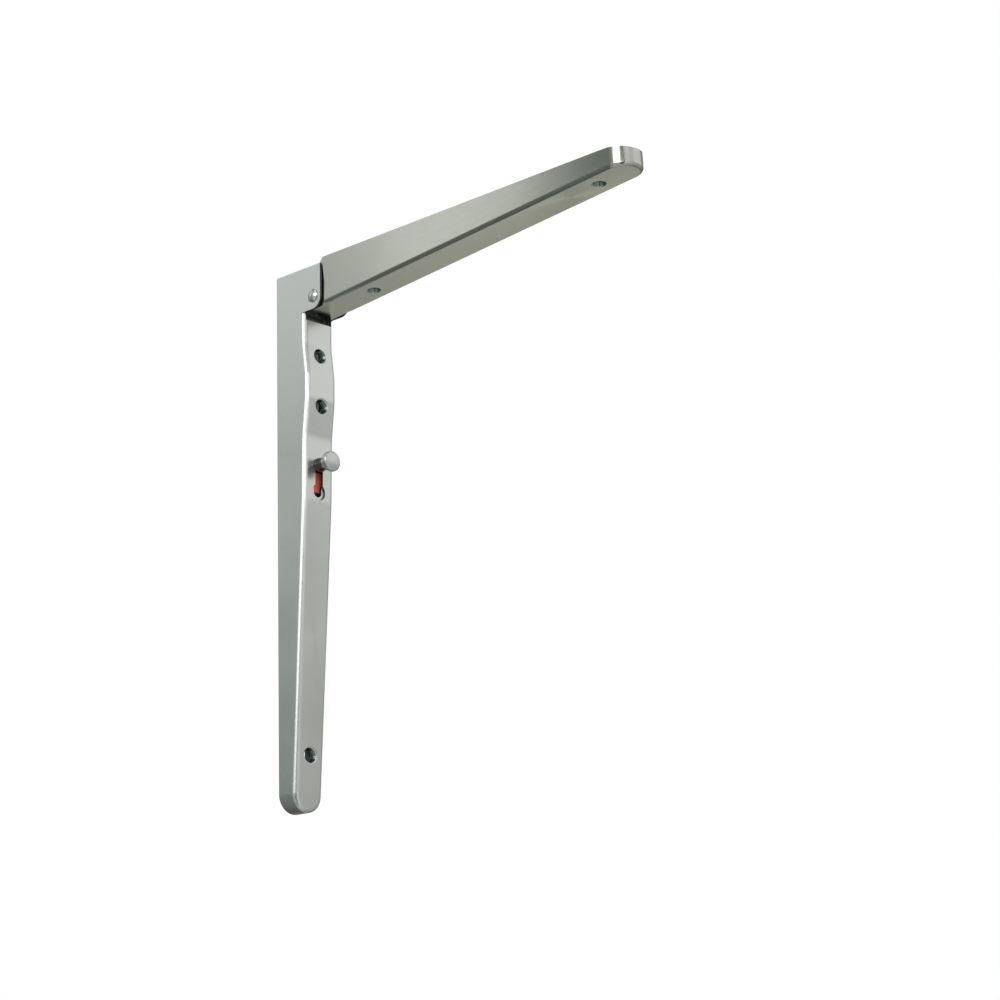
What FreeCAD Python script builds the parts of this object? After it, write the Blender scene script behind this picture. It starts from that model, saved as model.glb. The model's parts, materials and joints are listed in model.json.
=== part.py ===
import FreeCAD, Part
import math
import os

# Folding shelf bracket. Millimetres, +Z up. The origin is at the top of the leg, in the middle of
# its back, where it lies against the wall: +X points away from the wall, along the arm.

# Sheet and overall sizes
legHeight = 340.5
armReach = 300.0
width = 24.4
sheet = 1.5
bendRadius = 3.4

# How far a cutting shape runs past the faces that it trims
overshoot = 5.0

# Leg, front face of its web: distance from the wall, from top to bottom
webTop = -33.0
webDepthTop = 25.5
bulgeDepth = 28.0
bulgeStart = -48.0
bulgeUpper = -68.0
bulgeLower = -83.0
bulgeEnd = -108.0
webDepthBulgeEnd = 25.3
webDepthLock = 24.7
taperStart = -148.0
webDepthBottom = 13.8
bulgeStartRound = 30.0
bulgeUpperRound = 9.0
bulgeLowerRound = 25.0
bulgeEndRound = 50.0
taperRound = 60.0

# Leg, front view: straight flanges that draw in to a round lower end
narrowStart = -140.0
narrowRound = 300.0
endNarrowing = 2.2
endFlat = 0.3
endDraft = 0.07

# Ears, the flanges that run on above the web to carry the pivot
earDepth = 40.0
earHeight = 28.3
earRound = 7.0
earThroat = 22.6
earThroatRound = 2.4
earLip = 1.8

# Pivot rivet, its washers and the spacer tube between the tail's flanges
pivotX = 33.5
pivotZ = -20.0
pivotDia = 6.0
pivotHeadDia = 8.2
pivotHeadHeight = 2.2
pivotHeadEdge = 0.5
pinClearance = 0.05
washerDia = 11.0
washerGap = 0.6
washerSlack = 0.08
spacerDia = 9.0

# Arm
armTop = 3.1
armUndersideAt = 62.5
armUnderside = -25.9
armTaper = 0.0713
armTipFlat = 0.2
armTipFall = 0.05
armTipDropStart = 283.0
tailRear = 22.6
tailRadius = 13.6
tailTopAngle = 72.0
tailTopRise = 1.0
armBendRadius = 2.3
joggleTop = 40.3
joggleTopRound = 20.0
joggleMiddle = 42.7
joggleMiddleZ = -14.0
joggleRound = 12.0
joggleBottom = 41.8
joggleBottomZ = -45.0
joggleSlope = 1.4
joggleSetback = 0.5
joggleProud = 0.4
joggleSeam = 0.02
armEndDraft = 0.06

# Screw holes: pressed-in dimples that seat a screw head
wallHoles = (-54.5, -87.8, -305.6)
wallHoleDia = 5.8
wallSeatDia = 6.6
wallRimDia = 9.6
wallDimple = 2.8
shelfHoles = (76.0, 269.0)
shelfHoleDia = 4.6
shelfSeatDia = 5.6
shelfRimDia = 8.4
shelfDimple = 2.0
dimpleLip = 1.0

# Lock: knob in a keyhole slot, on a slider that drops a block behind the arm's heel
knobZ = -125.0
lockTravel = 17.0
slotClearance = 0.2
seatDia = 9.4
seatRimDia = 10.0
seatDepth = 1.3
seatLip = 0.5
stemDia = 5.8
stemTail = 1.6
stemFit = 0.15
collarFootDia = 9.0
collarFootHeight = 1.2
collarDia = 8.4
collarHeight = 6.6
collarChamfer = 0.3
collarGap = 0.1
neckDia = 7.4
neckHeight = 2.6
headDia = 12.8
headHeight = 3.8
headEdge = 3.1
headBackRound = 0.6
headFrontRound = 1.4
sliderFront = 19.4
sliderThickness = 1.5
sliderSideGap = 1.3
sliderBottom = -155.0
sliderCorner = 3.0
blockTop = -3.5
blockHeight = 7.5
blockSideGap = 0.9
blockHeelGap = 0.1
blockWallGap = 0.6
blockFootDepth = 7.0
blockFootHeight = 11.0
blockRound = 1.5
blockNoseRound = 1.0
blockHeelRound = 0.6
blockRivetEdgeDistance = 5.3
blockRivetDia = 3.0
blockRivetHeadDia = 5.4
blockRivetHeadHeight = 1.4
blockRivetHeadEdge = 0.3
windowWidth = 9.6
windowCorner = 3.0
screwMargin = 2.2
railThickness = 1.0
railClearance = 0.3
railLip = 2.4
railTopGap = 1.5
railBottom = -136.0
indicatorWidth = 11.0
indicatorDepth = 1.8
indicatorTop = -128.2
indicatorBottom = -142.6
indicatorCorner = 5.0
indicatorTopCorner = 0.6
indicatorChamfer = 0.5
indicatorPegDia = 2.4
indicatorPegInset = 4.8
springWire = 0.8
springDia = 8.8
springLength = 8.0
springTurns = 5
springEndGap = 0.05
springWasherDia = 10.2
springWasherThickness = 0.8
clipThickness = 0.8
clipDia = 9.6
clipGroove = 0.5
clipMouth = 3.4

# Sizes that follow from those above
halfWidth = width / 2
legInside = halfWidth - sheet
sliderWidth = 2 * (legInside - sliderSideGap)
blockWidth = 2 * (legInside - blockSideGap)
blockRivetSpacing = blockWidth - 2 * blockRivetEdgeDistance
tailHalf = legInside - washerGap
slotWidth = stemDia + 2 * slotClearance
sliderBack = sliderFront - sliderThickness
lockedZ = knobZ - lockTravel
railTop = blockTop - blockHeight - blockFootHeight - lockTravel - railTopGap


def vec(x, y, z):
    return FreeCAD.Vector(x, y, z)


outwards = vec(1, 0, 0)
across = vec(0, 1, 0)
upwards = vec(0, 0, 1)


def roundedWire(corners, place):
    """Closed wire through corners (u, v, radius); a corner with a radius becomes a tangent arc."""
    count = len(corners)
    runs = []
    for i in range(count):
        u, v, radius = corners[i]
        here = FreeCAD.Vector(u, v, 0)
        back = FreeCAD.Vector(*corners[i - 1][:2], 0) - here
        ahead = FreeCAD.Vector(*corners[(i + 1) % count][:2], 0) - here
        if radius == 0:
            runs.append((here, None, here))
            continue
        half = back.getAngle(ahead) / 2
        back.normalize()
        ahead.normalize()
        reach = radius / math.tan(half)
        toCentre = back + ahead
        toCentre.normalize()
        middle = here + toCentre * (radius / math.sin(half) - radius)
        runs.append((here + back * reach, middle, here + ahead * reach))
    edges = []
    for i in range(count):
        start, middle, end = runs[i]
        if middle is not None:
            edges.append(Part.Arc(place(start), place(middle), place(end)).toShape())
        following = runs[(i + 1) % count][0]
        if (following - end).Length > 1e-6:
            edges.append(Part.makeLine(place(end), place(following)))
    return Part.Wire(edges)


def prism(corners, place, along):
    return Part.Face(roundedWire(corners, place)).extrude(along)


def sidePrism(corners, halfDepth):
    """Outline in X and Z, extruded across the bracket."""
    return prism(corners, lambda p: vec(p.x, -halfDepth, p.y), vec(0, 2 * halfDepth, 0))


def cylinder(radius, length, base, direction):
    return Part.makeCylinder(radius, length, base, direction)


def through(dia, middle, direction, reach):
    """Round cutter that passes a wall at its middle, as far as reach on both sides."""
    return cylinder(dia / 2, 2 * reach, middle - direction * reach, direction)


def box(x0, x1, y0, y1, z0, z1):
    return Part.makeBox(x1 - x0, y1 - y0, z1 - z0, vec(x0, y0, z0))


def mirrored(corners):
    """Outline given for one half, from end to end, closed by its mirror image in the first value."""
    other = [(-u, v, r) for u, v, r in reversed(corners)]
    return corners + other


def aimed(shape, base, direction):
    """Shape made about the Z axis, set with its axis at base along direction."""
    shape.Placement = FreeCAD.Placement(base, FreeCAD.Rotation(vec(0, 0, 1), direction))
    return shape


def turned(profile, base, direction):
    """Solid of revolution: profile of (radius, height) about an axis at base along direction."""
    points = [vec(r, 0, h) for r, h in profile]
    face = Part.Face(Part.makePolygon(points + [points[0]]))
    return aimed(face.revolve(vec(0, 0, 0), vec(0, 0, 1), 360), base, direction)


def bendEdges(solid, towards):
    """Edges where the face that looks towards a direction meets the folded-up walls."""
    found = []
    for edge in solid.Edges:
        middle = edge.valueAt((edge.FirstParameter + edge.LastParameter) / 2)
        dots = []
        for face in solid.ancestorsOfType(edge, Part.Face):
            u, v = face.Surface.parameter(middle)
            dots.append(face.normalAt(u, v).dot(towards))
        if len(dots) == 2 and max(dots) > 0.9 and abs(min(dots)) < 0.2:
            found.append(edge)
    return found


def foldedBody(sideCorners, sideHalf, frontSolid, towards, radius, openEnds):
    """Block with the side outline and the front outline, its bends rounded."""
    solid = sidePrism(sideCorners, sideHalf).common(frontSolid)
    edges = [e for e in bendEdges(solid, towards) if not openEnds(e)]
    return solid.makeFillet(radius, edges)


def legBody(inset):
    """Leg below the ears' noses, as a solid block; inset by the sheet it is the hollow."""
    top = -earHeight + overshoot * inset
    wall = -inset
    bottom = -legHeight + inset
    side = [
        (wall, top, 0),
        (webDepthTop - inset, top, 0),
        (webDepthTop - inset, bulgeStart, bulgeStartRound),
        (bulgeDepth - inset, bulgeUpper, bulgeUpperRound),
        (bulgeDepth - inset, bulgeLower, bulgeLowerRound),
        (webDepthBulgeEnd - inset, bulgeEnd, bulgeEndRound),
        (webDepthLock - inset, taperStart, taperRound),
        (webDepthBottom - inset, bottom - overshoot, 0),
        (wall, bottom - overshoot, 0),
    ]
    endHalf = (width - endNarrowing) / 2 - inset
    endAtWall = bottom + endDraft * (webDepthBottom - wall)
    front = mirrored([
        (halfWidth - inset, top + overshoot, 0),
        (halfWidth - inset, narrowStart, narrowRound),
        (endHalf, endAtWall, endHalf - endFlat),
    ])
    forward = vec(1, 0, -endDraft) * (bulgeDepth + overshoot)
    frontSolid = prism(front, lambda p: vec(wall, p.x, p.y), forward)
    atTop = lambda edge: abs(edge.CenterOfMass.z - top) < 1e-3
    return foldedBody(side, width, frontSolid, outwards, bendRadius - inset, atTop)


def ear(side):
    """One flange above the web, with its rounded nose and the hollow corner below it."""
    corners = [
        (0, 0, 0),
        (earDepth, 0, 0),
        (earDepth, -earHeight, earRound),
        (earThroat, -earHeight, earThroatRound),
        (earThroat, webTop, 0),
        (0, webTop, 0),
    ]
    plate = sidePrism(corners, sheet / 2)
    plate.translate(vec(0, side * (halfWidth - sheet / 2), 0))
    return plate


def dimple(base, outwards, seatDia, rimDia, depth, lip):
    """Pressed dimple with a rounded lip: the metal behind it, and the hollow before it."""
    seat = seatDia / 2
    rim = rimDia / 2
    spread = sheet * 0.5
    lean = math.atan((rim - seat) / depth)
    reach = lip * math.tan((math.pi / 2 - lean) / 2)
    low = vec(rim - reach * math.sin(lean), 0, -reach * math.cos(lean))
    centre = vec(rim + reach, 0, -lip)
    turn = (math.pi / 2 + math.pi - lean) / 2
    middle = centre + vec(math.cos(turn), 0, math.sin(turn)) * lip
    metal = turned([
        (0, -depth - sheet),
        (seat + spread, -depth - sheet),
        (rim + spread, -sheet),
        (rim + spread, -sheet / 2),
        (0, -sheet / 2),
    ], base, outwards)
    edges = [
        Part.makeLine(vec(0, 0, 1), vec(0, 0, -depth)),
        Part.makeLine(vec(0, 0, -depth), vec(seat, 0, -depth)),
        Part.makeLine(vec(seat, 0, -depth), low),
        Part.Arc(low, middle, vec(rim + reach, 0, 0)).toShape(),
        Part.makeLine(vec(rim + reach, 0, 0), vec(rim + reach, 0, 1)),
        Part.makeLine(vec(rim + reach, 0, 1), vec(0, 0, 1)),
    ]
    hollow = aimed(Part.Face(Part.Wire(edges)).revolve(vec(0, 0, 0), vec(0, 0, 1), 360), base, outwards)
    return metal, hollow


def webDepthAt(z):
    """Front face of the leg's web on its straight runs, for the holes that lie on them."""
    if z > bulgeLower:
        share = (z - bulgeStart) / (bulgeUpper - bulgeStart)
        return webDepthTop + (bulgeDepth - webDepthTop) * min(max(share, 0), 1)
    if z > bulgeEnd:
        share = (z - bulgeLower) / (bulgeEnd - bulgeLower)
        return bulgeDepth + (webDepthBulgeEnd - bulgeDepth) * share
    if z > taperStart:
        share = (z - bulgeEnd) / (taperStart - bulgeEnd)
        return webDepthBulgeEnd + (webDepthLock - webDepthBulgeEnd) * share
    share = (z - taperStart) / (-legHeight - taperStart)
    return webDepthLock + (webDepthBottom - webDepthLock) * share


def keyhole():
    """Slot for the knob's stem, from the open position down to the round locked seat."""
    front = webDepthLock + overshoot
    slot = box(sliderFront, front, -slotWidth / 2, slotWidth / 2, lockedZ, knobZ)
    for z in (knobZ, lockedZ):
        slot = slot.fuse(cylinder(slotWidth / 2, front - sliderFront, vec(sliderFront, 0, z), outwards))
    return slot


def makeLeg():
    outer = legBody(0)
    hollow = legBody(sheet)
    aboveWeb = box(sliderFront, bulgeDepth, earLip - halfWidth, halfWidth - earLip, webTop, 0)
    leg = outer.cut(hollow).cut(aboveWeb)
    for side in (-1, 1):
        leg = leg.fuse(ear(side))
    for z in wallHoles:
        base = vec(webDepthAt(z), 0, z)
        metal, hollow = dimple(base, outwards, wallSeatDia, wallRimDia, wallDimple, dimpleLip)
        leg = leg.fuse(metal).cut(hollow).cut(through(wallHoleDia, base, outwards, 2 * overshoot))
    seatBase = vec(webDepthAt(lockedZ), 0, lockedZ)
    metal, hollow = dimple(seatBase, outwards, seatDia, seatRimDia, seatDepth, seatLip)
    leg = leg.fuse(metal).cut(hollow).cut(keyhole())
    return leg.cut(through(pivotDia, vec(pivotX, 0, pivotZ), across, width)).removeSplitter()


def undersideAt(x):
    return armUnderside + armTaper * (x - armUndersideAt)


def armBlock(rear, half, inset):
    """Arm as a solid block of one width, its underside bends rounded and its tip round in plan."""
    tip = armReach - inset
    past = armReach + overshoot
    top = armTop + overshoot * inset
    lift = inset / math.cos(math.atan(armTaper))
    side = [
        (rear, undersideAt(rear) + lift, 0),
        (rear, top, 0),
        (past, top, 0),
        (past, undersideAt(past) + lift, 0),
    ]
    plan = [
        (rear - overshoot, half, 0),
        (tip, half, half - armTipFlat),
    ]
    plan = plan + [(u, -v, r) for u, v, r in reversed(plan)]
    level = armUnderside - overshoot
    slanted = lambda p: vec(p.x + armEndDraft * (undersideAt(armReach) - level), p.y, level)
    planSolid = prism(plan, slanted, vec(-armEndDraft, 0, 1) * (top + overshoot - level))
    atRear = lambda edge: abs(edge.CenterOfMass.x - rear) < 1e-3
    return foldedBody(side, width, planSolid, -upwards, armBendRadius - inset, atRear)


def earZone(side, inset):
    """What the ear needs of the arm's full width: its front edge slopes out to the full width."""
    wide = side * (halfWidth + joggleProud - inset)
    narrow = side * (tailHalf - joggleSeam - inset)
    shift = inset * joggleSetback
    slope = joggleSlope * (halfWidth + joggleProud - tailHalf) / (halfWidth - tailHalf)
    high = armTop + 2 * overshoot
    behind = tailRear - 6 * overshoot
    wires = []
    for y, step in ((narrow, shift), (wide, shift + slope)):
        corners = [
            (behind, high, 0),
            (joggleTop + step, high, 0),
            (joggleTop + step, armTop, joggleTopRound),
            (joggleMiddle + step, joggleMiddleZ, joggleRound),
            (joggleBottom + step, joggleBottomZ, 0),
            (behind, joggleBottomZ, 0),
        ]
        wires.append(roundedWire(corners, lambda p: vec(p.x, y, p.y)))
    return Part.makeLoft(wires, True, True)


def armBody(inset):
    """Full-width arm, stepped inwards at its rear to a tail that swings between the ears."""
    rear = tailRear - overshoot * inset
    full = armBlock(rear, halfWidth - inset, inset)
    for side in (-1, 1):
        full = full.cut(earZone(side, inset))
    tail = armBlock(rear, tailHalf - inset, inset)
    return full.fuse(tail)


def tailTrim():
    """What is cut from the tail's top, so that it swings inside the ears clear of the slider."""
    startAngle = math.acos((pivotX - tailRear) / tailRadius)
    topAngle = math.radians(tailTopAngle)
    points = []
    for angle in (startAngle, (startAngle + topAngle) / 2, topAngle):
        x = pivotX - tailRadius * math.cos(angle)
        z = pivotZ + tailRadius * math.sin(angle)
        points.append(vec(x, -width, z))
    highFront = vec(joggleTop, -width, armTop + tailTopRise)
    highRear = vec(tailRear - overshoot, -width, highFront.z)
    lowRear = vec(highRear.x, -width, points[0].z)
    edges = [
        Part.Arc(points[0], points[1], points[2]).toShape(),
        Part.makeLine(points[2], highFront),
        Part.makeLine(highFront, highRear),
        Part.makeLine(highRear, lowRear),
        Part.makeLine(lowRear, points[0]),
    ]
    return Part.Face(Part.Wire(edges)).extrude(across * 2 * width)


def makeArm():
    arm = armBody(0).cut(armBody(sheet)).cut(tailTrim())
    drop = sidePrism([
        (armTipDropStart, armTop, 0),
        (armReach + overshoot, armTop - armTipFall * (armReach + overshoot - armTipDropStart), 0),
        (armReach + overshoot, armTop + overshoot, 0),
        (armTipDropStart, armTop + overshoot, 0),
    ], width)
    arm = arm.cut(drop)
    for x in shelfHoles:
        base = vec(x, 0, undersideAt(x))
        metal, hollow = dimple(base, -upwards, shelfSeatDia, shelfRimDia, shelfDimple, dimpleLip)
        arm = arm.fuse(metal).cut(hollow).cut(through(shelfHoleDia, base, upwards, 2 * overshoot))
    bore = through(pivotDia + 2 * pinClearance, vec(pivotX, 0, pivotZ), across, width)
    return arm.cut(bore).removeSplitter()


def domed(radius, height, edge, base, direction):
    """Low domed head: a short straight edge under a spherical cap."""
    rise = height - edge
    sphere = (radius ** 2 + rise ** 2) / (2 * rise)
    cap = Part.makeSphere(sphere, vec(0, 0, height - sphere))
    head = Part.makeCylinder(radius, 2 * height, vec(0, 0, 0)).common(cap)
    return aimed(head, base, direction)


def makePivotRivet():
    rivet = cylinder(pivotDia / 2, width, vec(pivotX, -halfWidth, pivotZ), across)
    for side in (-1, 1):
        base = vec(pivotX, side * halfWidth, pivotZ)
        rivet = rivet.fuse(domed(pivotHeadDia / 2, pivotHeadHeight, pivotHeadEdge, base, across * side))
    return rivet.removeSplitter()


def ring(outerDia, boreDia, length, base, direction):
    outer = cylinder(outerDia / 2, length, base, direction)
    return outer.cut(cylinder(boreDia / 2, length, base, direction))


def makePivotWasher(side):
    base = vec(pivotX, side * legInside, pivotZ)
    return ring(washerDia, pivotDia + 4 * pinClearance, washerGap - washerSlack, base, across * -side)


def makePivotSpacer():
    half = tailHalf - sheet
    return ring(spacerDia, pivotDia + 4 * pinClearance, 2 * half, vec(pivotX, -half, pivotZ), across)


def makeSlider():
    """Flat strip behind the web, with long windows that pass the upper wall screws."""
    top = blockTop - blockHeight
    strip = box(sliderBack, sliderFront, -sliderWidth / 2, sliderWidth / 2, sliderBottom, top)
    atFoot = lambda edge: abs(edge.CenterOfMass.z - sliderBottom) < 1e-3
    corners = [e for e in strip.Edges if abs(e.tangentAt(0).x) > 0.9 and atFoot(e)]
    strip = strip.makeFillet(sliderCorner, corners)
    reach = wallHoleDia / 2 + screwMargin
    for z in wallHoles[:2]:
        window = prism([
            (-windowWidth / 2, z - reach, windowCorner),
            (windowWidth / 2, z - reach, windowCorner),
            (windowWidth / 2, z + lockTravel + reach, windowCorner),
            (-windowWidth / 2, z + lockTravel + reach, windowCorner),
        ], lambda p: vec(sliderBack - overshoot, p.x, p.y), outwards * 2 * overshoot)
        strip = strip.cut(window)
    strip = strip.cut(through(slotWidth, vec(sliderBack, 0, knobZ), outwards, overshoot))
    for z in indicatorPegs():
        strip = strip.cut(through(indicatorPegDia, vec(sliderBack, 0, z), outwards, overshoot))
    for y in blockRivets():
        strip = strip.cut(through(blockRivetDia, vec(sliderBack, y, blockRivetZ()), outwards, overshoot))
    return strip


def blockRivets():
    return (-blockRivetSpacing / 2, blockRivetSpacing / 2)


def blockRivetZ():
    return blockTop - blockHeight - blockFootHeight / 2


def makeLockBlock():
    """Block that drops behind the arm's heel, with a foot riveted to the back of the strip."""
    bottom = blockTop - blockHeight
    front = tailRear - blockHeelGap
    corners = [
        (blockWallGap, blockTop, blockRound),
        (front, blockTop, blockNoseRound),
        (front, bottom, blockHeelRound),
        (sliderBack, bottom, 0),
        (sliderBack, bottom - blockFootHeight, 0),
        (sliderBack - blockFootDepth, bottom - blockFootHeight, blockRound),
        (sliderBack - blockFootDepth, bottom, blockNoseRound),
        (blockWallGap, bottom, blockRound),
    ]
    block = sidePrism(corners, blockWidth / 2)
    for y in blockRivets():
        base = vec(sliderBack, y, blockRivetZ())
        block = block.cut(through(blockRivetDia, base, outwards, blockFootDepth + overshoot))
    return block


def makeBlockRivet(y):
    """Rivet with a flush front end, so that the tail swings past it, and a domed back head."""
    base = vec(sliderBack - blockFootDepth, y, blockRivetZ())
    shank = cylinder(blockRivetDia / 2, sliderFront - base.x, base, outwards)
    head = domed(blockRivetHeadDia / 2, blockRivetHeadHeight, blockRivetHeadEdge, base, -outwards)
    return shank.fuse(head)


def indicatorPegs():
    return (indicatorTop - indicatorPegInset, indicatorBottom + indicatorPegInset)


def makeIndicator():
    """Coloured tongue that shows through the slot while the arm is free to fold."""
    front = sliderFront + indicatorDepth
    plate = prism([
        (-indicatorWidth / 2, indicatorBottom, indicatorCorner),
        (indicatorWidth / 2, indicatorBottom, indicatorCorner),
        (indicatorWidth / 2, indicatorTop, indicatorTopCorner),
        (-indicatorWidth / 2, indicatorTop, indicatorTopCorner),
    ], lambda p: vec(sliderFront, p.x, p.y), outwards * indicatorDepth)
    rim = [e for e in plate.Edges if abs(e.CenterOfMass.x - front) < 1e-3]
    plate = plate.makeChamfer(indicatorChamfer, rim)
    for z in indicatorPegs():
        plate = plate.fuse(cylinder(indicatorPegDia / 2, sliderThickness, vec(sliderBack, 0, z), outwards))
    return plate.removeSplitter()


def collarFoot():
    return webDepthAt(knobZ + collarFootDia / 2) + collarGap


def makeRail(side):
    """Guide fixed inside a flange, with two lips that hold the edge of the strip."""
    back = sliderBack - railClearance - railThickness
    front = sliderFront + railClearance + railThickness
    reach = legInside - railLip
    corners = [
        (back, legInside, 0),
        (front, legInside, 0),
        (front, reach, 0),
        (front - railThickness, reach, 0),
        (front - railThickness, legInside - railThickness, 0),
        (back + railThickness, legInside - railThickness, 0),
        (back + railThickness, reach, 0),
        (back, reach, 0),
    ]
    placed = lambda p: vec(p.x, side * p.y, railBottom)
    return prism(corners, placed, upwards * (railTop - railBottom))


def springBack():
    return sliderBack - springLength


def makeKnobStem():
    """Pin through the slot: grooved for the clip at its back end, a spigot for the head in front."""
    back = clipBack() - stemTail
    front = collarFoot() + collarHeight + neckHeight + headHeight / 2
    stem = cylinder(stemDia / 2, front - back, vec(back, 0, knobZ), outwards)
    groove = ring(clipDia, stemDia - 2 * clipGroove, clipThickness, vec(clipBack(), 0, knobZ), outwards)
    return stem.cut(groove)


def clipBack():
    return springBack() - springWasherThickness - clipThickness


def makeKnobCollar():
    """Sleeve with a wider foot that drops into the seat when locked, and a narrower neck."""
    foot = collarFoot()
    shoulder = foot + collarHeight
    profile = [
        (stemDia / 2, foot),
        (collarFootDia / 2 - collarChamfer, foot),
        (collarFootDia / 2, foot + collarChamfer),
        (collarFootDia / 2, foot + collarFootHeight),
        (collarDia / 2, foot + collarFootHeight + collarChamfer),
        (collarDia / 2, shoulder - collarChamfer),
        (collarDia / 2 - collarChamfer, shoulder),
        (neckDia / 2, shoulder),
        (neckDia / 2, shoulder + neckHeight),
        (stemDia / 2, shoulder + neckHeight),
    ]
    return turned(profile, vec(0, 0, knobZ), outwards)


def makeKnobHead():
    """Thick round head with a slightly domed face, softer in front than behind."""
    foot = collarFoot() + collarHeight + neckHeight
    head = domed(headDia / 2, headHeight, headEdge, vec(foot, 0, knobZ), outwards)
    for height, radius in ((0, headBackRound), (headEdge, headFrontRound)):
        atRim = lambda edge: len(edge.Vertexes) == 1 and abs(edge.CenterOfMass.x - foot - height) < 1e-3
        head = head.makeFillet(radius, [e for e in head.Edges if atRim(e)])
    return head.cut(cylinder(stemDia / 2, headHeight / 2, vec(foot, 0, knobZ), outwards))


def makeKnobSpring():
    """Compression spring between the strip and the washer; it holds the collar to the web."""
    coil = springDia / 2 - springWire / 2
    pitch = (springLength - springWire - 2 * springEndGap) / springTurns
    start = springBack() + springWire / 2 + springEndGap
    helix = Part.makeHelix(pitch, pitch * springTurns, coil)
    section = Part.Wire(Part.makeCircle(springWire / 2, vec(coil, 0, 0), vec(0, 1, 0)))
    wire = Part.Wire(helix).makePipeShell([section], True, False)
    return aimed(wire, vec(start, 0, knobZ), outwards)


def makeSpringWasher():
    base = vec(springBack() - springWasherThickness, 0, knobZ)
    return ring(springWasherDia, stemDia + 2 * stemFit, springWasherThickness, base, outwards)


def makeClip():
    """Open retaining clip in the stem's groove."""
    base = vec(clipBack(), 0, knobZ)
    clip = ring(clipDia, stemDia - 2 * clipGroove, clipThickness, base, outwards)
    half = clipMouth / 2
    mouth = box(base.x - overshoot, base.x + overshoot, -half, half, knobZ - clipDia, knobZ)
    return clip.cut(mouth)


parts = {
    "leg": makeLeg(),
    "arm": makeArm(),
    "pivot_rivet": makePivotRivet(),
    "pivot_spacer": makePivotSpacer(),
    "lock_slider": makeSlider(),
    "lock_block": makeLockBlock(),
    "lock_indicator": makeIndicator(),
    "knob_stem": makeKnobStem(),
    "knob_collar": makeKnobCollar(),
    "knob_head": makeKnobHead(),
    "knob_spring": makeKnobSpring(),
    "knob_spring_washer": makeSpringWasher(),
    "knob_clip": makeClip(),
}
for name, side in (("near", -1), ("far", 1)):
    parts["pivot_washer_" + name] = makePivotWasher(side)
    parts["slider_rail_" + name] = makeRail(side)
    parts["block_rivet_" + name] = makeBlockRivet(side * blockRivetSpacing / 2)

os.makedirs("parts", exist_ok=True)
for name, shape in parts.items():
    shape.exportStep("parts/" + name + ".step")
    print(name, shape.ShapeType, len(shape.Solids), shape.isValid(), round(shape.Volume, 1))
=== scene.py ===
import json
import math

import bmesh
import bpy
from mathutils import Matrix, Vector

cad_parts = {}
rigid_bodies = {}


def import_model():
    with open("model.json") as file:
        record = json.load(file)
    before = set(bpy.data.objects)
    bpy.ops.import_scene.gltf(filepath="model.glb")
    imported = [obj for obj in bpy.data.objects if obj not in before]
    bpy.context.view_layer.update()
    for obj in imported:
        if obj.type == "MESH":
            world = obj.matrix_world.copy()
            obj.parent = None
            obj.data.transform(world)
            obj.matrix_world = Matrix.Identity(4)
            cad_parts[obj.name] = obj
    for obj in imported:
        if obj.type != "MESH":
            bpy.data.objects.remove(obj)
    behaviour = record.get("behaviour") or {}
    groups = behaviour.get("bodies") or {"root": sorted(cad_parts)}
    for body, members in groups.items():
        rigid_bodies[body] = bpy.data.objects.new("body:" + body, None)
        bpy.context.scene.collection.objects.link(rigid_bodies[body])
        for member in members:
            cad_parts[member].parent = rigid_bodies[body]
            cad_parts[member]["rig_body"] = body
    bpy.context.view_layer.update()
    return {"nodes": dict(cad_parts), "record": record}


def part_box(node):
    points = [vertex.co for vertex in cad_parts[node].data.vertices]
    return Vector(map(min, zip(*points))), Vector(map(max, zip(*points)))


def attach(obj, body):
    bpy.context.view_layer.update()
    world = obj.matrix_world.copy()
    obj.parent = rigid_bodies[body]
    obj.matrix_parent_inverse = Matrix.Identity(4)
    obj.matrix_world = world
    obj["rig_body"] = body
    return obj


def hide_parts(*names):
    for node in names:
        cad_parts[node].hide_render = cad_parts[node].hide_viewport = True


# Folding shelf bracket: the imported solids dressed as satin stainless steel, metres, +Z up
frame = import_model()
cadNodes = frame["nodes"]
scene = bpy.context.scene
scene.view_settings.view_transform = "Standard"
print("frame loaded:", len(cadNodes), "nodes")

# Camera: low, well to the right of the bracket, looking up at it
cameraView = {
    "azimuth": 45.371, "elevation": -17.153, "roll": -0.993,  # degrees
    "distance": 2.68408,
    "aim": (0.120, 0.0, -0.140),
    "sideways": -0.044005, "upwards": 0.02789,  # how far the aim stands from the picture's middle
    "lens": 162.0, "sensor": 36.0, "farthest": 30.0,
}


def makeCamera(v):
    a, e, roll = (math.radians(v[k]) for k in ("azimuth", "elevation", "roll"))
    flatRight = Vector((math.cos(a), math.sin(a), 0))
    back = Vector((math.sin(a) * math.cos(e), -math.cos(a) * math.cos(e), math.sin(e)))
    flatUp = back.cross(flatRight)
    right = math.cos(roll) * flatRight + math.sin(roll) * flatUp
    up = math.cos(roll) * flatUp - math.sin(roll) * flatRight
    data = bpy.data.cameras.new("camera")
    data.lens = v["lens"]
    data.sensor_width = v["sensor"]
    data.clip_end = v["farthest"]
    cam = bpy.data.objects.new("camera", data)
    scene.collection.objects.link(cam)
    place = Matrix((right, up, back)).transposed().to_4x4()
    place.translation = (Vector(v["aim"]) + v["distance"] * back
                         - v["sideways"] * right - v["upwards"] * up)
    cam.matrix_world = place
    scene.camera = cam


makeCamera(cameraView)
print("camera set")


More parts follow.
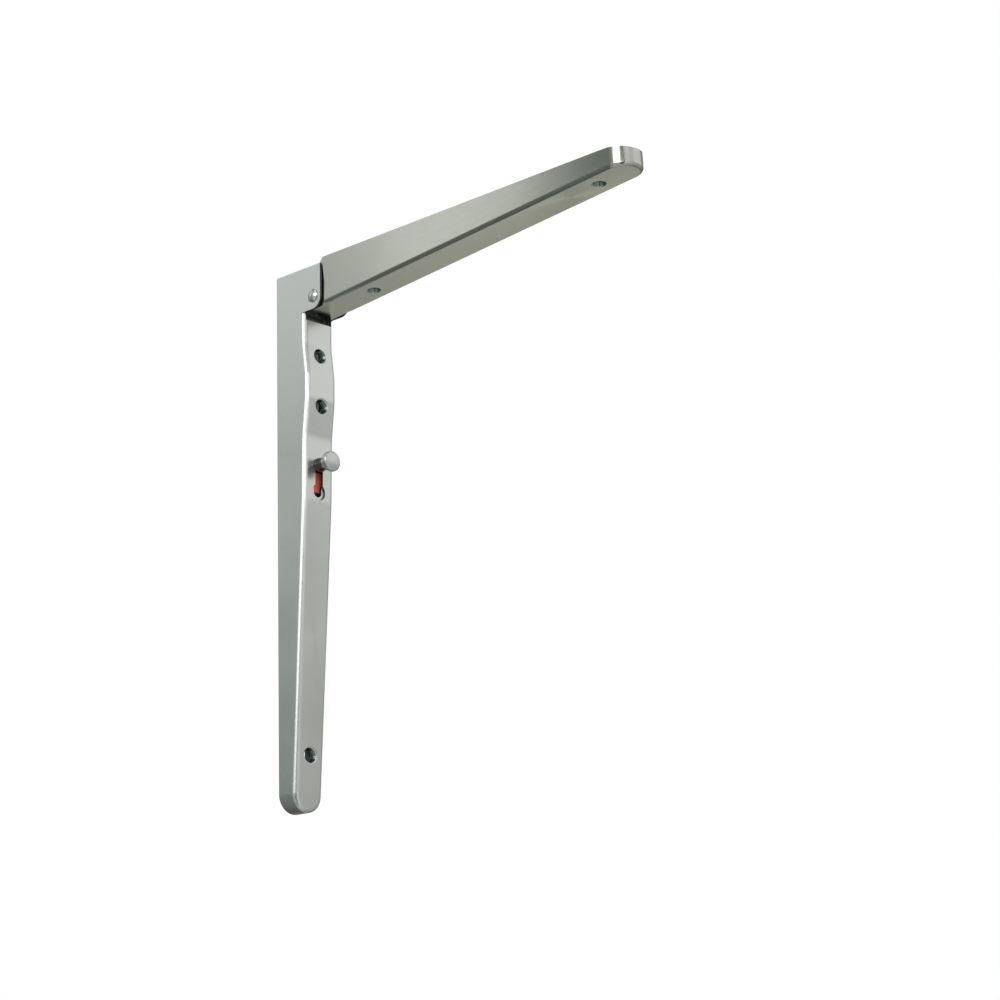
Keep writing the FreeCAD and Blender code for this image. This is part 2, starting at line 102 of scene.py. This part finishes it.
# Node helpers
class Graph:  # a material's or world's node tree with short calls
    def __init__(self, owner):
        owner.use_nodes = True
        self.tree = owner.node_tree
        self.tree.nodes.clear()

    def add(self, kind, settings=None, **inputs):
        node = self.tree.nodes.new(kind)
        for name, value in (settings or {}).items():
            setattr(node, name, value)
        for name, value in inputs.items():
            self.feed(node, name.replace("_", " "), value)
        return node

    def feed(self, node, socket, value):
        target = node.inputs[socket]
        if isinstance(value, bpy.types.NodeSocket):
            self.tree.links.new(value, target)
        else:
            target.default_value = value

    def ramp(self, factor, stops):
        node = self.add("ShaderNodeValToRGB", Fac=factor)
        ramp = node.color_ramp
        while len(ramp.elements) < len(stops):
            ramp.elements.new(0.5)
        for element, (position, color) in zip(ramp.elements, stops):
            element.position = position
            element.color = (*color, 1)
        return node.outputs["Color"]

    def math(self, operation, a, b):
        node = self.add("ShaderNodeMath", {"operation": operation})
        self.feed(node, 0, a)
        self.feed(node, 1, b)
        return node.outputs[0]

    def mixed(self, factor, first, second):
        node = self.add("ShaderNodeMixShader")
        for i, value in enumerate((factor, first.outputs[0], second.outputs[0])):
            self.feed(node, i, value)
        return node

    def rerange(self, value, low, high, toLow, toHigh):
        node = self.add("ShaderNodeMapRange", Value=value, From_Min=low, From_Max=high)
        self.feed(node, "To Min", toLow)
        self.feed(node, "To Max", toHigh)
        return node.outputs["Result"]


# Studio: a pale surround that is darker low down and on both sides of the front panel
studio = {
    "floor": {"height": -1.90, "half": 0.85, "tone": (0.80, 0.80, 0.79), "fade": (0.25, 0.80, 0.35, 1)},
    "ambient": ((0.90, 0.92, 0.91), 0.75),
    "around": [  # turn from the wall's normal as a share of a circle, tone at eye height
        (0.000, (0.12, 0.13, 0.12)),
        (0.060, (0.18, 0.21, 0.19)),
        (0.135, (0.16, 0.20, 0.18)),
        (0.165, (0.30, 0.34, 0.33)),
        (0.200, (0.42, 0.46, 0.45)),
        (0.226, (0.66, 0.68, 0.67)),
        (0.345, (0.66, 0.68, 0.67)),
        (0.354, (0.02, 0.04, 0.035)),
        (0.407, (0.02, 0.04, 0.035)),
        (0.416, (1.00, 1.00, 1.00)),
        (0.470, (0.96, 0.98, 0.96)),
        (0.560, (0.62, 0.64, 0.62)),
        (0.680, (0.56, 0.58, 0.55)),
        (0.760, (0.30, 0.32, 0.30)),
        (0.838, (0.22, 0.23, 0.21)),
        (0.846, (0.42, 0.43, 0.38)),
        (0.858, (0.36, 0.37, 0.33)),
        (0.868, (0.76, 0.78, 0.70)),
        (0.873, (0.62, 0.64, 0.58)),
        (0.882, (0.30, 0.31, 0.28)),
        (0.905, (0.10, 0.11, 0.10)),
    ],
    "upwards": [  # height from straight down, 0, to straight up, 1, and what it does to the tone
        (0.0, 0.25), (0.08, 0.70), (0.17, 0.95), (0.28, 0.90), (0.40, 0.85), (0.50, 0.95), (0.55, 0.82),
        (0.575, 0.82), (0.592, 0.95), (0.65, 1.0), (0.75, 1.05), (0.86, 0.8), (0.93, 1.6), (1.0, 2.0),
    ],
    "brightest": 2.0,
    "panels": {  # x, y, z of the middle, width, height, brightness
        "frontPanel": (0.60, -1.60, 0.52, 1.10, 1.05, 2.4),
        "leftPanel": (-0.477, -0.350, 0.38, 0.555, 0.60, 0.53),
        "sidePanel": (-0.366, -0.533, 0.27, 0.14, 0.22, 0.46),
        "middlePanel": (-0.470, -0.360, 0.015, 0.58, 0.09, 0.36),
        "lowPanel": (-0.490, -0.327, -0.100, 0.47, 0.14, 0.20),
        "rightPanel": (0.85, 0.75, 0.47, 1.10, 0.70, 0.40),
        "bendPanel": (0.43, -0.287, 0.03, 0.26, 0.15, 1.8),
    },
    "aim": (0.12, 0.0, -0.05),
}


def makeWorld(v):
    world = bpy.data.worlds.new("studio")
    scene.world = world
    g = Graph(world)
    direction = g.add("ShaderNodeTexCoord").outputs["Generated"]
    turn = g.add("ShaderNodeTexGradient", {"gradient_type": "RADIAL"}, Vector=direction).outputs["Fac"]
    around = g.ramp(turn, v["around"])
    height = g.add("ShaderNodeSeparateXYZ", Vector=direction).outputs["Z"]
    brightest = v["brightest"]
    upwards = g.ramp(g.rerange(height, -1, 1, 0, 1),
                     [(place, (share / brightest,) * 3) for place, share in v["upwards"]])
    tone = g.add("ShaderNodeVectorMath", {"operation": "MULTIPLY"})
    g.feed(tone, 0, around)
    g.feed(tone, 1, upwards)
    surround = g.add("ShaderNodeBackground", Color=tone.outputs[0], Strength=brightest)
    white = g.add("ShaderNodeBackground", Color=(1, 1, 1, 1), Strength=1.0)
    ambientTone, ambientStrength = v["ambient"]
    ambient = g.add("ShaderNodeBackground", Color=(*ambientTone, 1), Strength=ambientStrength)
    seen = g.add("ShaderNodeLightPath")
    mirrored = g.math("MAXIMUM", seen.outputs["Is Glossy Ray"], seen.outputs["Is Transmission Ray"])
    shining = g.mixed(mirrored, ambient, surround)
    shown = g.mixed(seen.outputs["Is Camera Ray"], shining, white)
    g.add("ShaderNodeOutputWorld", Surface=shown.outputs[0])


def makePanel(name, x, y, z, wide, high, brightness, aim):
    light = bpy.data.lights.new(name, "AREA")
    light.shape = "RECTANGLE"
    light.size = wide
    light.size_y = high
    light.energy = brightness * math.pi * wide * high
    panel = bpy.data.objects.new(name, light)
    scene.collection.objects.link(panel)
    panel.location = (x, y, z)
    panel.rotation_euler = (panel.location - Vector(aim)).to_track_quat("Z", "Y").to_euler()
    panel.visible_camera = False


def makeFloor(v):
    mesh = bpy.data.meshes.new("floor")
    corners = [(-1, -1), (1, -1), (1, 1), (-1, 1)]
    mesh.from_pydata([(x * v["half"], y * v["half"], v["height"]) for x, y in corners], [], [(0, 1, 2, 3)])
    floor = bpy.data.objects.new("floor", mesh)
    scene.collection.objects.link(floor)
    material = bpy.data.materials.new("paleFloor")
    g = Graph(material)
    place = g.add("ShaderNodeTexCoord").outputs["Object"]
    grain = g.add("ShaderNodeTexNoise", Vector=place, Scale=6.0, Detail=4.0).outputs["Fac"]
    tone = g.ramp(grain, [(0.3, v["tone"]), (0.7, [c * 0.98 for c in v["tone"]])])
    paper = g.add("ShaderNodeBsdfPrincipled", Base_Color=tone, Roughness=0.85)
    glow = g.add("ShaderNodeEmission", Color=(1, 1, 1, 1), Strength=1.0)
    seen = g.add("ShaderNodeLightPath").outputs["Is Camera Ray"]
    away = g.add("ShaderNodeVectorMath", {"operation": "LENGTH"}, Vector=place).outputs["Value"]
    fading = g.math("MULTIPLY", seen, g.rerange(away, *v["fade"]))  # the rim melts into the white
    g.add("ShaderNodeOutputMaterial", Surface=g.mixed(fading, paper, glow).outputs[0])
    mesh.materials.append(material)


makeWorld(studio)
for panelName, sizes in studio["panels"].items():
    makePanel(panelName, *sizes, studio["aim"])
makeFloor(studio["floor"])
print("studio lit")


# Finishes: brushed ones spread their highlights across the grain
steelFinishes = {
    "satinLeg": {"tone": (0.595, 0.605, 0.585), "grain": (1, 1, 0.02), "roughness": 0.31,
                 "spread": 0.7, "around": "Z"},
    "satinArm": {"tone": (0.490, 0.492, 0.445), "grain": (0.02, 1, 1), "roughness": 0.19,
                 "spread": 0.85, "around": "X"},
    # dark teal tone on the pressed screw-hole cones: painted shade
    "dimpleSteel": {"tone": (0.190, 0.225, 0.220), "grain": (1, 1, 1), "roughness": 0.20},
    # darker tone on the inside of the channels: painted shade
    "innerSteel": {"tone": (0.27, 0.285, 0.275), "grain": (1, 1, 0.2), "roughness": 0.48},
    # dark tone: partly the rougher cut edges, partly painted shade on the ears' insides, the lip, the slot
    # and seat walls and the hole seats
    "cutSteel": {"tone": (0.090, 0.105, 0.100), "grain": (1, 1, 1), "roughness": 0.45},
    "rivetSteel": {"tone": (0.60, 0.61, 0.61), "grain": (1, 1, 1), "roughness": 0.16},
    "knobSteel": {"tone": (0.50, 0.52, 0.51), "grain": (1, 1, 1), "roughness": 0.26},
    "collarSteel": {"tone": (0.110, 0.100, 0.095), "grain": (1, 1, 1), "roughness": 0.30},
    "brightSteel": {"tone": (0.62, 0.62, 0.61), "grain": (1, 1, 1), "roughness": 0.20},
    "plainSteel": {"tone": (0.36, 0.36, 0.35), "grain": (1, 1, 0.1), "roughness": 0.40},
    "springSteel": {"tone": (0.40, 0.40, 0.41), "grain": (1, 1, 1), "roughness": 0.28},
}


def makeSteel(name, v):
    material = bpy.data.materials.new(name)
    g = Graph(material)
    place = g.add("ShaderNodeTexCoord").outputs["Object"]
    stretched = g.add("ShaderNodeMapping", Vector=place, Scale=v["grain"]).outputs[0]
    streaks = g.add("ShaderNodeTexNoise", Vector=stretched, Scale=5200.0, Detail=2.0,
                    Roughness=0.6).outputs["Fac"]
    clouds = g.add("ShaderNodeTexNoise", Vector=place, Scale=22.0, Detail=3.0).outputs["Fac"]
    low = [c * 0.97 for c in v["tone"]]
    high = [min(1.0, c * 1.03) for c in v["tone"]]
    tone = g.ramp(clouds, [(0.3, low), (0.7, high)])
    smear = g.rerange(clouds, 0.3, 0.7, -0.02, 0.02)
    roughness = g.math("ADD", g.rerange(streaks, 0.3, 0.7, v["roughness"] - 0.03,
                                        v["roughness"] + 0.03), smear)
    bump = g.add("ShaderNodeBump", Height=streaks, Strength=0.15, Distance=0.00002)
    steel = g.add("ShaderNodeBsdfPrincipled", Base_Color=tone, Roughness=roughness, Metallic=1.0,
                  Normal=bump.outputs[0])
    if "spread" in v:
        g.feed(steel, "Anisotropic", v["spread"])
        tangent = g.add("ShaderNodeTangent", {"direction_type": "RADIAL", "axis": v["around"]})
        g.feed(steel, "Tangent", tangent.outputs[0])
    g.add("ShaderNodeOutputMaterial", Surface=steel.outputs[0])
    return material


redIndicator = {"tones": ((0.84, 0.125, 0.105), (0.92, 0.150, 0.130)), "roughness": (0.30, 0.42)}


def makeRedPlastic(v):
    material = bpy.data.materials.new("redPlastic")
    g = Graph(material)
    place = g.add("ShaderNodeTexCoord").outputs["Object"]
    clouds = g.add("ShaderNodeTexNoise", Vector=place, Scale=300.0, Detail=3.0).outputs["Fac"]
    tone = g.ramp(clouds, list(zip((0.3, 0.7), v["tones"])))
    pits = g.add("ShaderNodeTexNoise", Vector=place, Scale=4000.0, Detail=2.0).outputs["Fac"]
    bump = g.add("ShaderNodeBump", Height=pits, Strength=0.08, Distance=0.0001)
    roughness = g.rerange(pits, 0.3, 0.7, *v["roughness"])
    plastic = g.add("ShaderNodeBsdfPrincipled", Base_Color=tone, Roughness=roughness,
                    Normal=bump.outputs[0])
    g.add("ShaderNodeOutputMaterial", Surface=plastic.outputs[0])
    return material


finishes = {name: makeSteel(name, values) for name, values in steelFinishes.items()}
finishes["redPlastic"] = makeRedPlastic(redIndicator)

nodeFinishes = {
    "leg": "satinLeg", "arm": "satinArm",
    "pivot_rivet": "brightSteel", "block_rivet_near": "brightSteel", "block_rivet_far": "brightSteel",
    "knob_stem": "brightSteel", "knob_collar": "brightSteel", "knob_head": "brightSteel",
    "pivot_washer_near": "plainSteel", "pivot_washer_far": "plainSteel", "pivot_spacer": "plainSteel",
    "slider_rail_near": "plainSteel", "slider_rail_far": "plainSteel", "lock_slider": "plainSteel",
    "lock_block": "plainSteel", "knob_spring_washer": "plainSteel",
    "knob_spring": "springSteel", "knob_clip": "springSteel", "lock_indicator": "redPlastic",
}
for nodeName, finish in nodeFinishes.items():
    materials = cadNodes[nodeName].data.materials
    materials.clear()
    materials.append(finishes[finish])
print("finishes set")


def standIn(piece, nodeName):  # the dressed piece is shown for its plain solid
    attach(piece, cadNodes[nodeName]["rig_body"])
    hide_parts(nodeName)


# Pressed and cut parts: the plain solids with their edges rounded off
pressed = {
    # node: (outer edge radius, inner edge radius, angle that stays smooth, finishes)
    "leg": (0.00042, 0.00018, 35, ("satinLeg", "innerSteel", "cutSteel", "dimpleSteel")),
    "arm": (0.00030, 0.00018, 35, ("satinArm", "innerSteel", "cutSteel", "dimpleSteel")),
    "lock_slider": (0.00012, 0.00012, 35, ("plainSteel",)),
    "lock_block": (0.00030, 0.00020, 35, ("plainSteel",)),
    "slider_rail_near": (0.00012, 0.00012, 35, ("plainSteel",)),
    "slider_rail_far": (0.00012, 0.00012, 35, ("plainSteel",)),
    "pivot_washer_near": (0.00010, 0.00010, 35, ("plainSteel",)),
    "pivot_washer_far": (0.00010, 0.00010, 35, ("plainSteel",)),
    "pivot_spacer": (0.00015, 0.00015, 35, ("plainSteel",)),
    "knob_spring_washer": (0.00010, 0.00010, 35, ("plainSteel",)),
    "knob_clip": (0.00012, 0.00012, 35, ("springSteel",)),
    "lock_indicator": (0.00025, 0.00015, 30, ("redPlastic",)),
}


# Screw holes: place, axis and radius of each, from the record
screwHoles = [(Vector(m["pos_m"]), Vector(m["axis"]), m["dims"]["r_mm"] / 1000)
              for m in frame["record"]["mounts"] if m["kind"] == "bore"]
holeCone = {
    "reach": 0.0021, "shadedReach": 0.0017,  # width of the pressed cone, and of its own shading
    "depth": (-0.0010, 0.0033),  # along the axis
    "seat": 0.0009, "wall": 0.0002,  # how far the flat seat and the hole's wall reach past the radius; both take the dark cut tone as painted shade
    "rimStart": 0.0008, "rimFacing": 0.97, "flatFacing": 0.80,
}

# Slot of the knob: from the knob's open place down to the round seat
knobSlot = {"half": 0.0036, "travel": 0.0170, "seatWall": (0.0044, 0.0052), "webStart": 0.0190}
seatPlace = (Vector(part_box("knob_stem")[0]) + Vector(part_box("knob_stem")[1])) / 2
slotTop = seatPlace.z + knobSlot["half"]
seatPlace.z -= knobSlot["travel"]
slotMiddle = (slotTop + seatPlace.z - knobSlot["half"]) / 2
slotReach = slotTop - slotMiddle


def holeNear(point, v=holeCone):
    # the screw hole round a point: its place, axis and radius, and the point's distance from the axis
    lowest, highest = v["depth"]
    for place, axis, radius in screwHoles:
        away = point - place
        along = away.dot(axis)
        distance = (away - axis * along).length
        if distance < radius + v["reach"] and lowest < along < highest:
            return place, axis, radius, distance
    return None


def outFrom(point, place, axis):  # square to the axis
    away = point - place
    away -= axis * away.dot(axis)
    return away


def holeFinish(centre, normal, v=holeCone):
    hole = holeNear(centre)
    if hole is None:
        return 0
    place, axis, radius, distance = hole
    flat = normal.dot(axis) > v["flatFacing"]
    # flat seat and bore take the dark cut tone and the cone the dimple tone, both painted shade
    if distance < radius + (v["seat"] if flat else v["wall"]):
        return 2
    return 0 if flat else 3


def roundHoles(mesh, v=holeCone):
    # faces of the pressed cones take the normals of a true cone
    normals = [Vector((0, 0, 0)) for corner in mesh.loops]
    inside = set()
    outside = set()
    for face in mesh.polygons:
        hole = holeNear(face.center)
        if hole is None:
            outside.update(face.vertices)
            continue
        place, axis, radius, distance = hole
        facing = face.normal.dot(axis)
        if facing >= v["rimFacing"] and distance > radius + v["rimStart"]:
            outside.update(face.vertices)
            continue
        radial = outFrom(face.center, place, axis)
        if radial.length < 1e-5:
            continue
        leaning = face.normal.dot(radial.normalized())
        for corner in face.loop_indices:
            vertex = mesh.loops[corner].vertex_index
            out = outFrom(mesh.vertices[vertex].co, place, axis)
            if out.length > 1e-5:
                normals[corner] = (axis * facing + out.normalized() * leaning).normalized()
            if out.length < radius + v["shadedReach"]:
                inside.add(vertex)
    mesh.normals_split_custom_set(normals)
    return list(inside - outside)


legPlaces = {
    "wallFace": 0.0005, "flangeStart": 0.008,
    "earRim": -0.0332, "earNose": 0.0256,  # cut edges of the ears, dark partly from the rougher cut and partly as painted shade
    "lipBottom": -0.0330, "lip": (0.0226, 0.0262), "lipHalf": 0.0105,
    "shadedFrom": -0.0345, "shadedBehind": 0.018,  # inside of the ears, dark cut tone as painted shade
}
armPlaces = {"cutEnd": 0.0400, "topEdge": 0.0005, "flangeStart": 0.007}


# Each rule gives a face's place in the piece's row of finishes: satin, inner painted shade, cut edge and
# painted shade, dimple painted shade
def legFinish(centre, normal, v=legPlaces):
    onHole = holeFinish(centre, normal)
    if onHole:
        return onHole
    x, y, z = centre
    nearest, farthest = knobSlot["seatWall"]
    # walls of the knob's slot and seat: dark cut tone as painted shade
    if normal.x < 0.8 and abs(normal.z) + abs(normal.y) > 0.3 and x > knobSlot["webStart"]:
        onSlot = abs(y) < knobSlot["half"] and abs(z - slotMiddle) < slotReach
        if onSlot or nearest < math.hypot(y, z - seatPlace.z) < farthest:
            return 2
    if z > v["earRim"] and (abs(normal.y) < 0.6 and x > v["earNose"] or normal.z > 0.6):
        return 2
    # lip below the ears' throat: dark cut tone as painted shade
    if z > v["lipBottom"] and v["lip"][0] < x < v["lip"][1] and abs(y) < v["lipHalf"]:
        return 2
    # inside faces: darker inner tone as painted shade, and the dark cut tone inside the ears as painted
    # shade
    if (normal.x < -0.3 and x > v["wallFace"]) or (abs(y) > v["flangeStart"] and normal.y * y < 0):
        return 2 if z > v["shadedFrom"] and x > v["shadedBehind"] else 1
    return 0


def armFinish(centre, normal, v=armPlaces):
    onHole = holeFinish(centre, normal)
    if onHole:
        return onHole
    x, y, z = centre
    # arm's tail inside the leg: dark cut tone, partly cut edges and partly painted shade
    if x < v["cutEnd"] and abs(normal.y) < 0.5 and normal.z > -0.8:
        return 2
    # inside faces of the arm's channel: darker inner tone as painted shade
    if normal.z > 0.3 and z < v["topEdge"]:
        return 1
    if abs(y) > v["flangeStart"] and normal.y * y < 0 and abs(normal.y) > 0.5:
        return 1
    return 0


def oneFinish(centre, normal):
    return 0


def roundEdges(bm, edges, radius, steps):
    if edges:
        bmesh.ops.bevel(bm, geom=edges, offset=radius, offset_type="OFFSET", segments=steps, profile=0.6,
                        affect="EDGES", clamp_overlap=True, harden_normals=False)


indicatorTrim = 0.0014  # the red shows a little less at its lower end
sheetMetal = {"weldWithin": 1e-6, "flatWithin": 0.4, "flangeShare": 0.45, "evenWeight": 80}


def roundedCopy(nodeName, outerRadius, innerRadius, angle, finishNames, finishOf, v=sheetMetal):
    bm = bmesh.new()
    bm.from_mesh(cadNodes[nodeName].data)
    bmesh.ops.remove_doubles(bm, verts=bm.verts, dist=v["weldWithin"])
    bmesh.ops.dissolve_limit(bm, angle_limit=math.radians(v["flatWithin"]), verts=bm.verts, edges=bm.edges)
    low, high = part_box(nodeName)
    if nodeName == "lock_indicator":
        bmesh.ops.bisect_plane(bm, geom=bm.verts[:] + bm.edges[:] + bm.faces[:], clear_inner=True,
                               plane_co=(0, 0, low[2] + indicatorTrim), plane_no=(0, 0, 1))
        bmesh.ops.holes_fill(bm, edges=[e for e in bm.edges if e.is_boundary])
    sharp = [e for e in bm.edges if len(e.link_faces) == 2 and e.calc_face_angle() > math.radians(angle)]
    isChannel = len(finishNames) > 1
    outside = v["flangeShare"] * (high[1] - low[1])
    outer = [e for e in sharp if isChannel and min(abs(end.co.y) for end in e.verts) > outside]
    inner = [e for e in sharp if e not in set(outer)]
    roundEdges(bm, outer, outerRadius, 3)
    roundEdges(bm, [e for e in inner if e.is_valid], innerRadius, 2)
    bm.normal_update()
    for face in bm.faces:
        face.smooth = True
        face.material_index = finishOf(face.calc_center_median(), face.normal)
    mesh = bpy.data.meshes.new(nodeName + "_dressed")
    bm.to_mesh(mesh)
    bm.free()
    mesh.set_sharp_from_angle(angle=math.radians(angle))
    for finish in finishNames:
        mesh.materials.append(finishes[finish])
    piece = bpy.data.objects.new(nodeName + "_dressed", mesh)
    scene.collection.objects.link(piece)
    group = piece.vertex_groups.new(name="cones")
    group.add(roundHoles(mesh) if isChannel else [], 1.0, "REPLACE")
    evened = piece.modifiers.new("evenNormals", "WEIGHTED_NORMAL")
    evened.vertex_group = "cones"
    evened.invert_vertex_group = True
    evened.mode = "FACE_AREA"
    evened.weight = v["evenWeight"]
    evened.keep_sharp = True
    standIn(piece, nodeName)
    return piece


finishRules = {"leg": legFinish, "arm": armFinish}
for nodeName, sizes in pressed.items():
    piece = roundedCopy(nodeName, *sizes, finishRules.get(nodeName, oneFinish))
    print("dressed", nodeName, len(piece.data.polygons), "faces")


# Turned parts: knob, its collar and stem, and the rivets
def softened(corners, steps=6):
    # outline of (radius, along, rounding); a corner with a rounding becomes an arc
    points = []
    for i, (radius, along, rounding) in enumerate(corners):
        here = Vector((radius, along))
        if rounding == 0 or i in (0, len(corners) - 1):
            points.append(here)
            continue
        back = (Vector(corners[i - 1][:2]) - here).normalized()
        ahead = (Vector(corners[i + 1][:2]) - here).normalized()
        half = back.angle(ahead) / 2
        centre = here + (back + ahead).normalized() * (rounding / math.sin(half))
        start = here + back * (rounding / math.tan(half)) - centre
        end = here + ahead * (rounding / math.tan(half)) - centre
        turn = start.angle_signed(end)
        for k in range(steps + 1):
            part = turn * k / steps
            points.append(centre + Vector((start.x * math.cos(part) + start.y * math.sin(part),
                                           start.y * math.cos(part) - start.x * math.sin(part))))
    return points


def turnedPiece(name, outline, base, axis, finish, around=72):
    bm = bmesh.new()
    side = Vector((0, 0, 1)) if abs(axis.z) < 0.5 else Vector((1, 0, 0))
    other = axis.cross(side)
    rings = []
    for radius, along in outline:
        count = 1 if radius < 1e-7 else around
        rings.append([bm.verts.new(base + axis * along
                                   + radius * (math.cos(2 * math.pi * k / around) * side
                                               + math.sin(2 * math.pi * k / around) * other))
                      for k in range(count)])
    for low, high in zip(rings, rings[1:]):
        for k in range(around):
            corners = [low[k % len(low)], low[(k + 1) % len(low)],
                       high[(k + 1) % len(high)], high[k % len(high)]]
            corners = list(dict.fromkeys(corners))
            if len(corners) > 2:
                bm.faces.new(corners)
    bmesh.ops.recalc_face_normals(bm, faces=bm.faces)
    for face in bm.faces:
        face.smooth = True
    mesh = bpy.data.meshes.new(name)
    bm.to_mesh(mesh)
    bm.free()
    mesh.set_sharp_from_angle(angle=math.radians(32))
    mesh.materials.append(finishes[finish])
    piece = bpy.data.objects.new(name, mesh)
    scene.collection.objects.link(piece)
    return piece


outwards = Vector((1, 0, 0))  # away from the wall


def startOf(nodeName):  # middle of the node's end towards the wall, and its length outwards
    low, high = (Vector(c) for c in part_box(nodeName))
    return Vector((low.x, (low.y + high.y) / 2, (low.z + high.z) / 2)), high.x - low.x


knobCollar = {
    "footRadius": 0.0045, "footHeight": 0.0011, "radius": 0.0041, "bore": 0.0029,
    "ridges": 5, "ridgeDepth": 0.00007, "ridgeStart": 0.0016, "ridgePitch": 0.00075,
    "ridge": ((0, 0.00004), (0.35, 0.00012), (0.60, 0.00012), (0.95, 0.00004)),  # share of pitch, rounding
    "endRing": 0.0043, "endRingHeight": 0.0021, "height": 0.0080, "neckRadius": 0.0036, "neckHeight": 0.0012,
}
knobHead = {
    "radius": 0.0064, "backRound": 0.0007, "frontRound": 0.0013, "rise": 0.0007, "bore": 0.0029,
    "neckSeat": knobCollar["neckRadius"] + 0.0004, "recess": 0.0003, "recessRise": 0.0004,
}


def makeKnobHead(v):
    base, total = startOf("knob_head")
    sphere = (v["radius"] ** 2 + v["rise"] ** 2) / (2 * v["rise"])
    recess, rimAngle = v["recess"], math.asin(v["radius"] / sphere)
    outline = softened([
        (v["bore"], total / 2, 0), (v["bore"], 0, 0), (v["neckSeat"], 0, 0),
        (v["neckSeat"] + v["recessRise"], recess, recess), (v["radius"], recess, v["backRound"]),
        (v["radius"], total - v["rise"], v["frontRound"]),
    ] + [(sphere * math.sin(t), total - sphere + sphere * math.cos(t), 0)
         for t in (rimAngle * k / 12 for k in range(9, -1, -1))])
    piece = turnedPiece("knob_head_turned", outline, base, outwards, "knobSteel")
    standIn(piece, "knob_head")


def makeKnobCollar(v):
    base, _ = startOf("knob_collar")
    valley = v["radius"] - v["ridgeDepth"]
    ringStart, neckEnd = v["height"] - v["endRingHeight"], v["height"] + v["neckHeight"]
    corners = [
        (v["bore"], 0, 0), (v["footRadius"], 0, 0.0003), (v["footRadius"], v["footHeight"], 0.0002),
        (valley, v["footHeight"] + 0.0002, 0.0001),
    ]
    for k in range(v["ridges"]):
        at = v["ridgeStart"] + k * v["ridgePitch"]
        for radius, (share, rounding) in zip((valley, v["radius"], v["radius"], valley), v["ridge"]):
            corners.append((radius, at + v["ridgePitch"] * share, rounding))
    corners += [
        (valley, ringStart, 0.00005), (v["endRing"], ringStart + 0.0001, 0.0002),
        (v["endRing"], v["height"], 0.0002), (v["neckRadius"], v["height"] + 0.0001, 0.0001),
        (v["neckRadius"], neckEnd, 0), (v["bore"], neckEnd, 0), (v["bore"], 0, 0),
    ]
    piece = turnedPiece("knob_collar_turned", softened(corners, 3), base, outwards, "collarSteel")
    piece.data.materials.append(finishes["knobSteel"])
    for face in piece.data.polygons:
        face.material_index = 1 if face.center.x > base.x + ringStart else 0
    standIn(piece, "knob_collar")


def domedEnd(radius, start, height, edge, sign, chamfer=0.0002, steps=12):
    # outline of a low domed head from its rim to its middle
    rise = height - edge
    sphere = (radius ** 2 + rise ** 2) / (2 * rise)
    points = [Vector((radius - chamfer, sign * start)), Vector((radius, sign * (start + chamfer)))]
    for k in range(steps + 1):
        part = math.asin(radius / sphere) * (1 - k / steps)
        points.append(Vector((sphere * math.sin(part) if k < steps else 0.0,
                              sign * (start + height - sphere + sphere * math.cos(part)))))
    return points


pivotRivet = {"shank": 0.0030, "head": 0.0041, "headHeight": 0.0022, "edge": 0.0005}


def makePivotRivet(v):
    low, high = (Vector(c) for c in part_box("pivot_rivet"))
    base = (low + high) / 2
    face = (high.y - low.y) / 2 - v["headHeight"]
    near = domedEnd(v["head"], face, v["headHeight"], v["edge"], 1)
    outline = near[::-1] + [Vector((v["shank"], face)), Vector((v["shank"], -face))]
    outline += domedEnd(v["head"], face, v["headHeight"], v["edge"], -1)
    piece = turnedPiece("pivot_rivet_turned", outline, base, Vector((0, 1, 0)), "rivetSteel")
    standIn(piece, "pivot_rivet")


blockRivet = {"shank": 0.0015, "head": 0.0027, "headHeight": 0.0014, "edge": 0.0003, "chamfer": 0.0002}


def makeBlockRivet(nodeName, v):
    low, high = (Vector(c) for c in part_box(nodeName))
    base = Vector((low.x + v["headHeight"], (low.y + high.y) / 2, (low.z + high.z) / 2))
    length = high.x - base.x
    outline = domedEnd(v["head"], 0, v["headHeight"], v["edge"], -1)[::-1]
    outline += [Vector((v["shank"], 0)), Vector((v["shank"], length - v["chamfer"])),
                Vector((v["shank"] - v["chamfer"], length)), Vector((0, length))]
    piece = turnedPiece(nodeName + "_turned", outline, base, outwards, "rivetSteel", 48)
    standIn(piece, nodeName)


knobStem = {"radius": 0.0029, "chamfer": 0.0004, "groove": 0.0005}


def makeKnobStem(v):
    base, length = startOf("knob_stem")
    grooveStart, grooveEnd = (Vector(corner).x - base.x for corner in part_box("knob_clip"))
    inGroove = v["radius"] - v["groove"]
    outline = softened([
        (0, 0, 0), (v["radius"] - v["chamfer"], 0, 0), (v["radius"], v["chamfer"], 0.0001),
        (v["radius"], grooveStart, 0.00008), (inGroove, grooveStart, 0),
        (inGroove, grooveEnd, 0), (v["radius"], grooveEnd, 0.00008),
        (v["radius"], length, 0), (0, length, 0),
    ], 2)
    piece = turnedPiece("knob_stem_turned", outline, base, outwards, "rivetSteel", 48)
    standIn(piece, "knob_stem")


makeKnobHead(knobHead)
makeKnobCollar(knobCollar)
makeKnobStem(knobStem)
makePivotRivet(pivotRivet)
for nodeName in ("block_rivet_near", "block_rivet_far"):
    makeBlockRivet(nodeName, blockRivet)
print("turned parts made")
